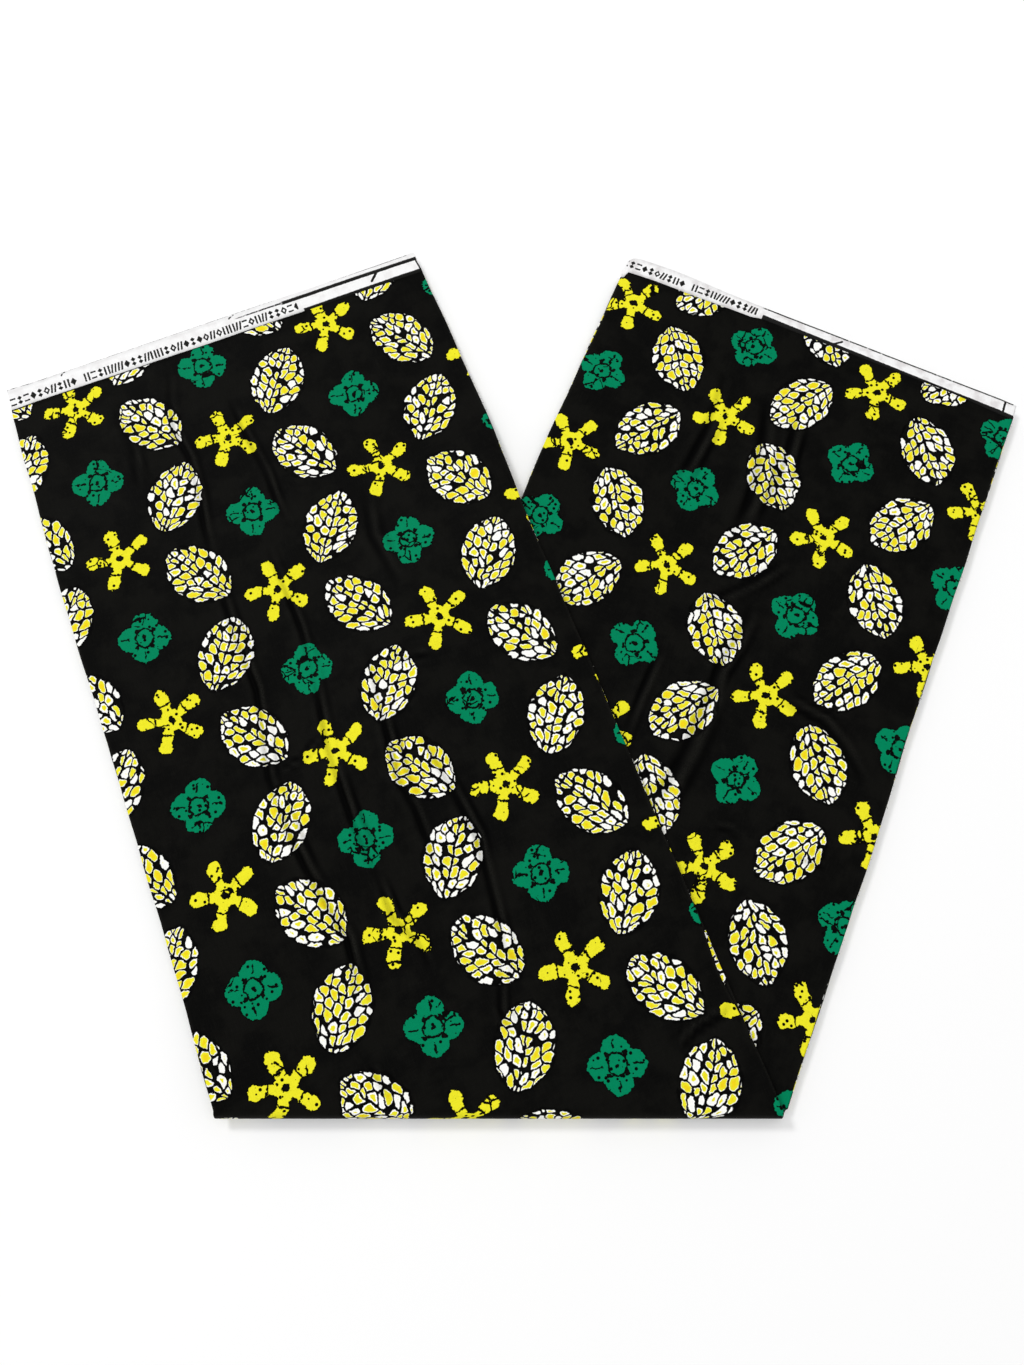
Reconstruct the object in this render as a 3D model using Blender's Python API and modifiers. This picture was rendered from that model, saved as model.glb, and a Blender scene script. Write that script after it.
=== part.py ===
"""A length of printed cotton cloth, folded to and fro into a strip and then turned into a V.

The strip is many plies thick. It is folded once, on a slant, along the fold line at the bottom of the V,
so that its left arm lies on its right arm. Both arms end in the cloth's white selvedges.

Metres, +Z up. While the shapes are worked out, the fold line is the X axis and the V opens towards +Y.
On an arm, s runs from the fold line along the arm and t runs across it, to the right.
"""

import math
from collections import namedtuple

import bmesh
import bpy

# Driving sizes of the folded strip
PLY_WALL = 0.0011
PLY_GAP = 0.0006
SEAM_GAP = 0.0003
ARM_GAP = 0.0005
ARM_HEIGHT = 0.0073
TURN_HEIGHT = 2 * ARM_HEIGHT + ARM_GAP

# How far the turn bulges past the fold line, and where its edges start to shift from one arm's to the other's
TURN_DEPTH = 0.0053
TURN_SHIFT_START = 0.35

# How the left arm comes down from the right arm to the ground, beside the right arm's left edge
DRAPE_START = 0.010
DRAPE_LENGTH = 0.095

# The edge of a stack: layers of folded plies, each a rounded bulge with a groove over it
LAYER_HEIGHT = 0.0009
LAYER_SLACK = 0.0006
LAYER_ROUNDING = 0.28
GROOVE_DEPTH = 0.0011
TOP_EDGE_ROLL = 0.0006
ROLL_WIDTH = 0.007

# Mesh steps: columns across an arm, and sections along it
COLUMNS = 28
SECTIONS = 22
EDGE_CROWDING = 0.055
TURN_COLUMNS = 16
TURN_STEPS = 8

# Creases fade out towards the turn, under the other arm and from ply to ply
CREASE_FADE = 0.030
HIDDEN_START = 0.002
HIDDEN_FADE = 0.020
CREASE_LOSS = 0.25

# Each arm: its slant, its side of the V, where its middle line meets the fold line, the walls it is made of
# over its rounded stack, where the printed ground ends, the slant of that end and the radius of its corners.
# Past that end go the white woven edges: top_reach is the top ply's, less top_taper towards the arm's right,
# and lower_reach is that of the plies under it, less lower_slope from the ground up to them. On the left arm
# the lower plies reach further out, because they take the shorter way round the turn.
Arm = namedtuple(
    "Arm",
    "angle side centre walls stack_left stack_right print_end end_slope corner "
    "top_reach top_taper lower_reach lower_slope",
)
Wall = namedtuple("Wall", "name left right")
LEFT = Arm(
    angle=math.radians(21.6), side=-1, centre=-0.0045,
    walls=(Wall("top_ply", -0.1580, 0.1578), Wall("second_ply", -0.1575, 0.1585)),
    stack_left=-0.1580, stack_right=0.1583, print_end=0.5650, end_slope=0.0, corner=0.002,
    top_reach=0.0158, top_taper=0.0040, lower_reach=0.0192, lower_slope=0.0012,
)
RIGHT = Arm(
    angle=math.radians(22.9), side=1, centre=0.0045,
    walls=(Wall("top_ply", -0.1512, 0.1508),),
    stack_left=-0.1520, stack_right=0.1515, print_end=0.5705, end_slope=-0.025, corner=0.0085,
    top_reach=0.0098, top_taper=0.0, lower_reach=0.0042, lower_slope=-0.0030,
)
TAPER_START = 0.030
TAPER_LENGTH = 0.110

# Main creases: soft ridges from one point of the arm to another, in metres across and along it
Crease = namedtuple("Crease", "t0 s0 t1 s1 height half_width")
LEFT_CREASES = (
    Crease(-0.043, 0.562, -0.055, 0.420, 0.0011, 0.016),
    Crease(-0.055, 0.420, -0.064, 0.240, 0.0012, 0.017),
    Crease(-0.064, 0.240, -0.054, 0.070, 0.0013, 0.018),
    Crease(-0.008, 0.530, 0.001, 0.415, 0.0009, 0.015),
    Crease(-0.017, 0.400, -0.023, 0.200, 0.0010, 0.015),
    Crease(-0.023, 0.200, -0.008, 0.090, 0.0011, 0.015),
    Crease(0.022, 0.310, 0.014, 0.150, 0.0008, 0.014),
    Crease(0.043, 0.205, 0.040, 0.075, 0.0011, 0.015),
    Crease(0.098, 0.480, 0.110, 0.330, 0.0007, 0.018),
    Crease(-0.112, 0.500, -0.108, 0.300, 0.0006, 0.018),
)
RIGHT_CREASES = (
    Crease(-0.050, 0.520, -0.054, 0.430, 0.0009, 0.016),
    Crease(-0.020, 0.500, -0.004, 0.395, 0.0012, 0.018),
    Crease(0.008, 0.505, 0.006, 0.425, 0.0008, 0.015),
    Crease(0.036, 0.405, 0.010, 0.330, 0.0009, 0.016),
    Crease(0.022, 0.320, 0.011, 0.205, 0.0011, 0.017),
    Crease(0.078, 0.297, 0.135, 0.271, 0.0010, 0.017),
    Crease(0.098, 0.470, 0.102, 0.340, 0.0006, 0.018),
)


def lerp(a, b, share):
    return a + (b - a) * share


def smooth(share):
    share = min(max(share, 0.0), 1.0)
    return share * share * (3.0 - 2.0 * share)


def arm_xy(arm, t, s):
    """The place on the ground of a point of an arm."""
    across = t + arm.centre
    x = arm.side * s * math.sin(arm.angle) + across * math.cos(arm.angle)
    y = s * math.cos(arm.angle) - arm.side * across * math.sin(arm.angle)
    return x, y


def fold_line_s(arm, t, y=0.0):
    """How far along the arm a line of it meets the line that lies y in front of the fold line."""
    across = t + arm.centre
    return (y + arm.side * across * math.sin(arm.angle)) / math.cos(arm.angle)


def fold_line_x(arm, t):
    return (t + arm.centre) / math.cos(arm.angle)


def end_s(arm, t, reach=0.0):
    """How far along the arm its print ends, or a point further out by reach, round the arm's corners."""
    to_side = min(t - arm.stack_left, arm.stack_right - t)
    into_corner = min(max(arm.corner - to_side, 0.0), arm.corner)
    cut = arm.corner - math.sqrt(arm.corner ** 2 - into_corner ** 2)
    return arm.print_end + arm.end_slope * t + reach - min(cut, max(reach - 2 * SEAM_GAP, 0.0))


def rest_height(arm, x, y):
    """Height of an arm's underside: the left one lies on the right one and comes down beside it."""
    if arm is RIGHT:
        return 0.0
    across_right = x * math.cos(RIGHT.angle) - y * math.sin(RIGHT.angle) - RIGHT.centre
    outside = RIGHT.stack_left - across_right
    return (ARM_HEIGHT + ARM_GAP) * (1.0 - smooth((outside - DRAPE_START) / DRAPE_LENGTH))


def hidden_share(arm, t, s):
    """1 where the right arm is under the left one, 0 where it shows."""
    if arm is LEFT:
        return 0.0
    x, y = arm_xy(arm, t, s)
    across_left = x * math.cos(LEFT.angle) + y * math.sin(LEFT.angle) - LEFT.centre
    return 1.0 - smooth((across_left - LEFT.stack_right - HIDDEN_START) / HIDDEN_FADE)


def crease_height(arm, t, s):
    """The highest of the ridges that pass near a point."""
    creases = LEFT_CREASES if arm is LEFT else RIGHT_CREASES
    best = 0.0
    for crease in creases:
        dt, ds = crease.t1 - crease.t0, crease.s1 - crease.s0
        along = ((t - crease.t0) * dt + (s - crease.s0) * ds) / (dt * dt + ds * ds)
        along = min(max(along, 0.0), 1.0)
        away = math.hypot(t - crease.t0 - along * dt, s - crease.s0 - along * ds) / crease.half_width
        if away < 1.0:
            best = max(best, crease.height * (1.0 - away * away) ** 2)
    fade = smooth((s - fold_line_s(arm, t)) / CREASE_FADE)
    return best * fade * (1.0 - hidden_share(arm, t, s))


def edge_roll(arm, t):
    """How far the cloth has rolled down at the side edges of the top ply."""
    top = arm.walls[0]
    to_edge = min(t - top.left, top.right - t)
    return TOP_EDGE_ROLL * (1.0 - smooth(to_edge / ROLL_WIDTH))


def layer_top(arm, t, s, depth):
    """Height over its rest of a ply, counted down from the top one. Creases weaken with depth."""
    height = ARM_HEIGHT - depth * (PLY_WALL + PLY_GAP) - edge_roll(arm, t)
    return height + crease_height(arm, t, s) * (1.0 - CREASE_LOSS * depth)


def column_share(index, count):
    """Columns stand closer together at both edges, where the cloth rolls over."""
    share = index / count
    return share - EDGE_CROWDING * math.sin(2.0 * math.pi * share)


def make_material(name, colour, roughness):
    material = bpy.data.materials.new(name)
    material.use_nodes = True
    shader = material.node_tree.nodes["Principled BSDF"]
    shader.inputs["Base Color"].default_value = (*colour, 1.0)
    shader.inputs["Roughness"].default_value = roughness
    shader.inputs["Metallic"].default_value = 0.0
    return material


def add_object(name, bm, material, collection, parent):
    mesh = bpy.data.meshes.new(name)
    bm.to_mesh(mesh)
    bm.free()
    mesh.materials.append(material)
    mesh.shade_smooth()
    mesh.set_sharp_from_angle(angle=math.radians(40))
    obj = bpy.data.objects.new(name, mesh)
    obj.parent = parent
    collection.objects.link(obj)
    return obj


def cloth_wall(name, place, columns, steps, material, collection, parent):
    """A ply: an open sheet that place() lays out, face up, with the thickness of a wall under it."""
    bm = bmesh.new()
    bmesh.ops.create_grid(bm, x_segments=columns, y_segments=steps, size=0.5)
    for vert in bm.verts:
        vert.co = place(vert.co.x + 0.5, vert.co.y + 0.5)
    obj = add_object(name, bm, material, collection, parent)
    wall = obj.modifiers.new("wall", "SOLIDIFY")
    wall.thickness = PLY_WALL
    wall.offset = -1.0
    return obj


def loft(name, rings, material, collection, parent):
    """A closed solid through rings of points, with both end rings filled."""
    bm = bmesh.new()
    rows = [[bm.verts.new(point) for point in ring] for ring in rings]
    for near, far in zip(rows, rows[1:]):
        for index in range(len(near)):
            after = (index + 1) % len(near)
            bm.faces.new((near[index], near[after], far[after], far[index]))
    bm.faces.new(rows[0])
    bm.faces.new(rows[-1])
    bmesh.ops.recalc_face_normals(bm, faces=bm.faces)
    return add_object(name, bm, material, collection, parent)


def layered_edge(walls):
    """Height share and inset of each point up the edge of what lies under some walls, from the bottom up."""
    layers = round((ARM_HEIGHT - walls * (PLY_WALL + PLY_GAP)) / LAYER_HEIGHT)
    levels = []
    for layer in range(layers):
        low = layer / layers
        high = (layer + 1) / layers
        slack = LAYER_SLACK * abs(math.sin(2.3 * layer))
        levels.append((lerp(low, high, LAYER_ROUNDING), slack))
        levels.append((lerp(low, high, 1.0 - LAYER_ROUNDING), slack))
        if layer < layers - 1:
            levels.append((high, GROOVE_DEPTH))
    return levels


def stack_ring(arm, share, levels):
    """One section across a stack: flat below, layered at both sides, creased like the ply above."""
    ring = []
    shares = [column_share(index, COLUMNS) for index in range(COLUMNS + 1)]

    def point(t, level):
        s = lerp(fold_line_s(arm, t), end_s(arm, t), share)
        x, y = arm_xy(arm, t, s)
        return x, y, rest_height(arm, x, y) + level * layer_top(arm, t, s, len(arm.walls))

    inner_left = arm.stack_left + GROOVE_DEPTH
    inner_right = arm.stack_right - GROOVE_DEPTH
    for across in shares:
        ring.append(point(lerp(inner_left, inner_right, across), 0.0))
    for level, inset in levels:
        ring.append(point(arm.stack_right - inset, level))
    for across in reversed(shares):
        ring.append(point(lerp(inner_left, inner_right, across), 1.0))
    for level, inset in reversed(levels):
        ring.append(point(arm.stack_left + inset, level))
    return ring


def wall_place(arm, wall, depth, start, end):
    """Lays a sheet out as one ply of an arm, between two lines across it."""
    def place(u, v):
        t = lerp(wall.left, wall.right, column_share(u * COLUMNS, COLUMNS))
        s = lerp(start(t), end(t), v)
        x, y = arm_xy(arm, t, s)
        return x, y, rest_height(arm, x, y) + layer_top(arm, t, s, depth)
    return place


def make_arm(arm, name, materials, collection, parent):
    print_cloth, stack_cloth, white_cloth = materials

    def start(t):
        return fold_line_s(arm, t) + SEAM_GAP

    def printed_end(t):
        return end_s(arm, t)

    def selvedge_start(t):
        return end_s(arm, t, SEAM_GAP)

    def selvedge_end(t):
        taper = arm.top_taper * smooth((t - TAPER_START) / TAPER_LENGTH)
        return end_s(arm, t, arm.top_reach - taper)

    for depth, wall in enumerate(arm.walls):
        place = wall_place(arm, wall, depth, start, printed_end)
        cloth_wall(f"{name}_{wall.name}", place, COLUMNS, SECTIONS, print_cloth, collection, parent)

    place = wall_place(arm, arm.walls[0], 0, selvedge_start, selvedge_end)
    cloth_wall(name + "_top_selvedge", place, COLUMNS, 1, white_cloth, collection, parent)

    levels = layered_edge(len(arm.walls))
    rings = [stack_ring(arm, index / SECTIONS, levels) for index in range(SECTIONS + 1)]
    loft(name + "_inner_plies", rings, stack_cloth, collection, parent)
    loft(name + "_lower_selvedges", lower_selvedge_rings(arm), white_cloth, collection, parent)


def lower_selvedge_rings(arm):
    """Sections across the white ends of all plies under the top one, which end in steps."""
    levels = layered_edge(1)
    inner_left = arm.stack_left + GROOVE_DEPTH
    inner_right = arm.stack_right - GROOVE_DEPTH
    rings = []
    for index in range(COLUMNS + 1):
        t = lerp(inner_left, inner_right, column_share(index, COLUMNS))

        def point(s, level):
            x, y = arm_xy(arm, t, s)
            return x, y, rest_height(arm, x, y) + level * layer_top(arm, t, s, 1)

        root = end_s(arm, t, SEAM_GAP)
        low_end = end_s(arm, t, arm.lower_reach)
        high_end = low_end - arm.lower_slope
        ring = [point(root, 0.0), point(low_end - GROOVE_DEPTH, 0.0)]
        ring += [point(lerp(low_end, high_end, level) - inset, level) for level, inset in levels]
        ring += [point(high_end - GROOVE_DEPTH, 1.0), point(lerp(root, high_end, 0.5), 1.0), point(root, 1.0)]
        rings.append(ring)
    return rings


def make_turn(print_cloth, stack_cloth, collection, parent):
    """The turn at the fold line: one outer ply round a rounded solid of the plies inside it."""
    middle = TURN_HEIGHT / 2
    inside = PLY_WALL + PLY_GAP

    def place(share, turned, outer, inset):
        """A point of a ply round the turn, from the left arm's edge on top to the right arm's at the bottom."""
        over = smooth((turned - TURN_SHIFT_START) / (1.0 - TURN_SHIFT_START))
        edges = LEFT.walls[0] if outer else Wall("stack", LEFT.stack_left, LEFT.stack_right)
        left = lerp(fold_line_x(LEFT, edges.left), fold_line_x(RIGHT, RIGHT.stack_left), over)
        right = lerp(fold_line_x(LEFT, edges.right), fold_line_x(RIGHT, RIGHT.stack_right), over)
        angle = math.pi * turned
        y = -SEAM_GAP - (TURN_DEPTH - inset) * math.sin(angle)
        return lerp(left, right, share), y, middle + (middle - inset) * math.cos(angle)

    def outer_ply(u, v):
        return place(u, 1.0 - v, True, 0.0)

    cloth_wall("turn_outer_ply", outer_ply, TURN_COLUMNS, TURN_STEPS, print_cloth, collection, parent)
    rings = [
        [place(index / TURN_COLUMNS, step / TURN_STEPS, False, inside) for step in range(TURN_STEPS + 1)]
        for index in range(TURN_COLUMNS + 1)
    ]
    loft("turn_inner_plies", rings, stack_cloth, collection, parent)


def centre_on_ground(objects, parent):
    """Moves the whole part so that the middle of its footprint is the origin."""
    bpy.context.view_layer.update()
    depsgraph = bpy.context.evaluated_depsgraph_get()
    xs, ys, zs = [], [], []
    for obj in objects:
        shape = obj.evaluated_get(depsgraph)
        mesh = shape.to_mesh()
        for vert in mesh.vertices:
            xs.append(vert.co.x)
            ys.append(vert.co.y)
            zs.append(vert.co.z)
        shape.to_mesh_clear()
    parent.location = (-(min(xs) + max(xs)) / 2, -(min(ys) + max(ys)) / 2, -min(zs))


def main():
    for obj in list(bpy.data.objects):
        bpy.data.objects.remove(obj)
    collection = bpy.data.collections.new("folded_printed_cotton")
    bpy.context.scene.collection.children.link(collection)
    parent = bpy.data.objects.new("folded_cloth", None)
    collection.objects.link(parent)

    print_cloth = make_material("printed_cotton", (0.035, 0.035, 0.04), 0.55)
    stack_cloth = make_material("printed_cotton_edges", (0.05, 0.05, 0.045), 0.65)
    white_cloth = make_material("white_selvedge", (0.82, 0.80, 0.78), 0.8)
    materials = (print_cloth, stack_cloth, white_cloth)

    make_arm(RIGHT, "right_arm", materials, collection, parent)
    make_arm(LEFT, "left_arm", materials, collection, parent)
    make_turn(print_cloth, stack_cloth, collection, parent)
    centre_on_ground([obj for obj in collection.objects if obj.type == "MESH"], parent)
    bpy.context.view_layer.update()


main()
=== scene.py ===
"""A length of wax print cotton, folded to and fro into a strip and turned into a V, shown flat.

Every ply is a stretch of a thin sheet. The strip has 18 plies: ply 0 is the outer one, which lies on top of
the left arm, goes round the turn and lies under the right arm. Ply 17 is the inner one, on top of the right
arm. Shapes are in metres, +Z up, and patterns in millimetres. Shapes are worked out with the fold line at the
bottom of the V as the X axis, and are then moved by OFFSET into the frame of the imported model. On an arm, s
runs from the fold line along the arm and t runs across it, to the right.
"""

import math
from collections import namedtuple

import bpy
import numpy as np
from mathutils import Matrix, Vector


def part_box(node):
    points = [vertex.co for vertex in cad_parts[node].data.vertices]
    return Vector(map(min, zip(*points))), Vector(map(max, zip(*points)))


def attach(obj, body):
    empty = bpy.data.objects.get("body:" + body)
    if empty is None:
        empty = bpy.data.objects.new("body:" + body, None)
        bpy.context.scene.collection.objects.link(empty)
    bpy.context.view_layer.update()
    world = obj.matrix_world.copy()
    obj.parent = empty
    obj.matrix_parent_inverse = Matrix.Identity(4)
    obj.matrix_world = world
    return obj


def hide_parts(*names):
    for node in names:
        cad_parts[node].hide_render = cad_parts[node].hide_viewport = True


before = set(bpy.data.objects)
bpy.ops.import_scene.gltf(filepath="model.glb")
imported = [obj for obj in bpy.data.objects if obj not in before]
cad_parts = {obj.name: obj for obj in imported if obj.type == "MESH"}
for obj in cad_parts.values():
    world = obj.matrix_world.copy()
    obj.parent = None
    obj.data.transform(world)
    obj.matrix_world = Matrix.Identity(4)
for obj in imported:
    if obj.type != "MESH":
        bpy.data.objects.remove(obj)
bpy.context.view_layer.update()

# Sizes that the solids share
SEAM_GAP = 0.0003
ARM_GAP = 0.0005
ARM_HEIGHT = 0.0073
TURN_HEIGHT = 2 * ARM_HEIGHT + ARM_GAP
TURN_DEPTH = 0.0053
TURN_SHIFT_START = 0.35
DRAPE_START = 0.010
DRAPE_LENGTH = 0.095

# The cloth
PLIES = 18
LAST = PLIES - 1
PITCH = ARM_HEIGHT / PLIES
CLOTH = 0.00028
PANEL = 0.305
OUTER_WIDTH = 0.316
INNER_WIDTH = 0.303
SLACK = 0.0007
LIFT = 0.0004


def lerp(a, b, share):
    return a + (b - a) * share


def smooth(share):
    share = np.clip(share, 0.0, 1.0)
    return share * share * (3.0 - 2.0 * share)


def ramps(place, rows):
    """The sum of smooth ramps, each given as (where it starts, where it is full, how much it adds)."""
    return sum(amount * smooth((place - start) / (full - start)) for start, full, amount in rows)


def swell(place, middle, width):
    """1 at the middle, falling off to 0 on both sides."""
    return np.exp(-((place - middle) / width) ** 2)


def soft_noise(x, y, seed):
    """Smooth noise, mostly from -1 to 1: a few sine waves with fixed, seeded directions and phases."""
    draw = np.random.default_rng(seed)
    total = np.zeros(np.broadcast(x, y).shape)
    for _ in range(7):
        turn, phase = draw.uniform(0.0, 2.0 * math.pi, 2)
        rate = draw.uniform(0.6, 1.7)
        total = total + np.sin(rate * (x * math.cos(turn) + y * math.sin(turn)) + phase)
    return total / 4.0


class Arm:
    """One arm of the V.

    Edges are the t of its folded edges in millimetres, ply pair by ply pair from ply 0 on. Drifts are ramps
    along s that say how far the edges stray outwards.
    """

    def __init__(self, angle, side, centre, left_edges, right_edges, left_drift, right_drift):
        self.angle = math.radians(angle)
        self.side = side
        self.centre = centre
        self.left_edges = np.array(left_edges) / 1000.0
        self.right_edges = np.array(right_edges) / 1000.0
        self.left_drift = left_drift
        self.right_drift = right_drift

    def place(self, t, s):
        across = t + self.centre
        x = self.side * s * math.sin(self.angle) + across * math.cos(self.angle)
        y = s * math.cos(self.angle) - self.side * across * math.sin(self.angle)
        return x, y

    def across(self, x, y):
        return x * math.cos(self.angle) - self.side * y * math.sin(self.angle) - self.centre

    def fold_s(self, t):
        return self.side * (t + self.centre) * math.tan(self.angle)

    def fold_x(self, t):
        return (t + self.centre) / math.cos(self.angle)


LEFT = Arm(
    21.6, -1, -0.0045,
    left_edges=(-158.3, -157.4, -158.4, -157.6, -158.0, -157.1, -158.2, -157.5, -157.9),
    right_edges=(157.9, 157.4, 156.9, 157.5, 156.8, 157.3, 157.0, 157.5, 156.9, 157.2),
    left_drift=((0.43, 0.51, -0.0014), (0.51, 0.56, -0.0014), (0.555, 0.58, -0.0020)),
    right_drift=((0.36, 0.44, 0.0026), (0.50, 0.57, -0.0013)),
)
RIGHT = Arm(
    22.9, 1, 0.0045,
    left_edges=(-151.4, -151.8, -150.9, -152.0, -151.2, -151.9, -151.1, -151.7, -151.6),
    right_edges=(151.3, 151.2, 150.6, 151.5, 151.0, 151.4, 150.9, 151.3, 151.1, 151.4),
    left_drift=((0.43, 0.37, -0.0020),),
    right_drift=((0.20, 0.28, -0.0015),),
)

# Where the left arm's top ply draws back at its right edge and shows the ply under it
PEEK_AT = 0.077
PEEK_LENGTH = 0.024
PEEK_WIDTH = 0.0034

# Creases of each arm's top ply, in millimetres: points (t, s), depth and half width of the pinched trough.
# A negative depth is a soft ridge. The ridge beside a trough lies on its left, seen along its points.
LEFT_CREASES = (
    (((-40, 562), (-48, 531), (-52, 507), (-48, 483), (-50, 454), (-54, 428), (-57, 393)), 0.70, 1.7),
    (((-57, 400), (-58, 347), (-56, 305), (-60, 281), (-67, 245), (-66, 215)), 0.90, 1.7),
    (((-67, 250), (-65, 203), (-62, 179), (-56, 150), (-52, 129), (-54, 106), (-63, 78)), 1.00, 1.8),
    (((-8, 520), (-6, 492), (-1, 454), (-1, 424), (2, 408)), 0.60, 1.5),
    (((-18, 398), (-16, 366), (-15, 335), (-17, 300)), 0.70, 1.5),
    (((-16, 310), (-24, 250), (-25, 196), (-21, 150)), 0.90, 1.7),
    (((-22, 160), (-21, 131), (-11, 110), (-10, 90)), 0.80, 1.5),
    (((22, 302), (16, 251), (12, 210), (15, 190), (16, 146)), 0.95, 1.7),
    (((35, 240), (41, 198), (46, 159), (41, 116), (37, 89), (44, 72)), 1.00, 1.7),
    (((38, 96), (27, 70), (21, 55), (24, 38)), 0.55, 1.5),
    (((-64, 56), (-60, 38), (-56, 24)), 0.60, 1.5),
    (((36, 287), (50, 283), (66, 284)), 0.50, 1.3),
    (((-22, 262), (-42, 250), (-62, 246)), 0.40, 1.2),
    (((112, -8), (130, 0), (146, 2), (159, 9)), 0.70, 1.8),
    (((96, 520), (101, 470), (99, 430), (106, 380)), -0.42, 9.0),
    (((-112, 500), (-108, 440), (-111, 360), (-106, 300)), -0.40, 10.0),
    (((92, 300), (96, 230), (90, 170)), -0.35, 9.0),
    (((-110, 240), (-118, 180), (-112, 140)), -0.35, 9.0),
    (((60, 420), (52, 380), (58, 330)), 0.34, 2.2),
    (((-88, 545), (-84, 505), (-90, 470)), 0.34, 2.0),
)
RIGHT_CREASES = (
    (((-54, 520), (-52, 507), (-50, 474), (-53, 442), (-60, 415)), 0.75, 2.2),
    (((-20, 515), (-13, 489), (-5, 454), (-4, 431), (-6, 396)), 1.10, 2.9),
    (((6, 512), (9, 480), (12, 449), (6, 425)), 0.80, 2.2),
    (((36, 402), (20, 378), (0, 356), (-10, 345)), 0.70, 2.0),
    (((24, 362), (23, 334), (18, 310), (18, 285)), 0.85, 2.3),
    (((-22, 312), (-23, 298), (-24, 270), (-24, 228)), 0.70, 1.7),
    (((18, 326), (19, 290), (17, 248), (13, 217), (11, 196)), 1.15, 3.1),
    (((52, 207), (60, 209), (70, 208)), 0.50, 1.6),
    (((62, 305), (80, 302), (96, 300), (113, 290), (134, 271)), 0.75, 2.0),
    (((104, 212), (116, 210), (128, 211)), 0.50, 1.6),
    (((-28, 520), (-24, 470), (-20, 430)), -0.50, 9.0),
    (((90, 480), (97, 420), (94, 350)), -0.42, 10.0),
    (((108, 150), (112, 110), (104, 80)), -0.38, 9.0),
    (((-96, 530), (-98, 490), (-92, 455)), -0.38, 9.0),
)
# Strengths of the painted shade in crease troughs and the painted sheen on crease ridges
CREASE_SHADE = 1.60
CREASE_SHINE = 0.62
WAVE_HEIGHT = 0.00022
CRINKLE_HEIGHT = 0.00006

# Ends of the plies, along the arm. The printed ground ends first and the white woven edge goes on.
LEFT_PRINT_END = 0.5650
RIGHT_PRINT_END = 0.5705
RIGHT_END_SLOPE = -0.025
LEFT_TOP_REACH = 0.0158
LEFT_LOWER_REACH = 0.0192
LEFT_LAYER_STEP = 0.0012
RIGHT_TOP_REACH = 0.0098
RIGHT_LOWER_REACH = 0.0072
RIGHT_LAYER_STEP = 0.0030
RIGHT_LEFT_CORNER = 0.008
RIGHT_RIGHT_CORNER = 0.004
RIGHT_CORNER_EDGE = 0.1515
PLY_STAGGER = 0.0005
PLY_RIPPLE = 0.00025
SWELL_AT = -0.113
SWELL_WIDTH = 0.030
SWELL_REACH = 0.0018

# Ramps across the arm: how far the left arm's top ply and the right arm's printed ground draw back
LEFT_TOP_TAPER = ((0.030, 0.140, 0.0014),)
RIGHT_PRINT_DRAWN_BACK = (
    (-0.043, -0.052, 0.0016),
    (-0.050, -0.100, 0.0008),
    (-0.120, -0.150, 0.0012),
    (-0.1478, -0.1503, 0.0060),
    (0.095, 0.145, 0.0022),
)

# Where one arm lies on the other: the right arm's left edge, and the left arm's right edge with a blend
UNDER_EDGE = -0.152
OVER_EDGE = 0.158
OVER_BLEND = 0.016


def rest_height(arm, x, y):
    """Height of an arm's underside: the left one lies on the right one and comes down beside it."""
    if arm is RIGHT:
        return np.zeros(np.broadcast(x, y).shape)
    outside = UNDER_EDGE - RIGHT.across(x, y)
    return (ARM_HEIGHT + ARM_GAP) * (1.0 - smooth((outside - DRAPE_START) / DRAPE_LENGTH))


def hidden_share(arm, x, y):
    """1 where the right arm is under the left one, 0 where it shows."""
    if arm is LEFT:
        return np.zeros(np.broadcast(x, y).shape)
    return 1.0 - smooth((LEFT.across(x, y) - OVER_EDGE) / OVER_BLEND)


def crease_line(t, s, points, depth, half_width):
    """A crease's height, its share of painted shade in the trough and its share of painted sheen on the
    ridge, over a ply.

    It is a narrow trough with a ridge beside it, and here and there a second, weaker trough past the ridge.
    """
    points = np.array(points) / 1000.0
    steps = np.diff(points, axis=0)
    lengths = np.hypot(steps[:, 0], steps[:, 1])
    starts = np.concatenate([[0.0], np.cumsum(lengths)])
    nearest = np.full(t.shape, 1.0)
    along = np.zeros(t.shape)
    side = np.ones(t.shape)
    for (t0, s0), (dt, ds), length, start in zip(points, steps, lengths, starts):
        share = np.clip(((t - t0) * dt + (s - s0) * ds) / length ** 2, 0.0, 1.0)
        away = np.hypot(t - t0 - share * dt, s - s0 - share * ds)
        closer = away < nearest
        nearest = np.where(closer, away, nearest)
        along = np.where(closer, start + share * length, along)
        side = np.where(closer, np.sign(dt * (s - s0) - ds * (t - t0)), side)
    whole = starts[-1]
    end_fade = smooth(along / (0.35 * whole)) * smooth((whole - along) / (0.30 * whole))
    uneven = 0.80 + 0.20 * np.sin(along * 95.0 + 900.0 * points[0, 0])
    strength = end_fade * uneven * depth / 1000.0
    across = side * nearest / (half_width / 1000.0)
    trough = swell(across, 0.0, 1.0)
    if depth < 0:
        return -strength * trough, 0.0 * trough, 0.0 * trough
    paired = 0.50 + 0.35 * np.sin(along * 62.0 + 1300.0 * points[0, 1])
    second = paired * swell(across, 4.3, 1.0)
    ridge = 0.75 * swell(across, 2.2, 1.1)
    far_ridge = 0.30 * swell(across, -2.4, 1.7)
    height = strength * (ridge + far_ridge - trough - 0.6 * second)
    shade = end_fade ** 0.5 * uneven * np.maximum(swell(across, 0.0, 1.25), second)
    return height, shade, CREASE_SHINE * end_fade * uneven * (ridge + 0.7 * far_ridge)


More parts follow.
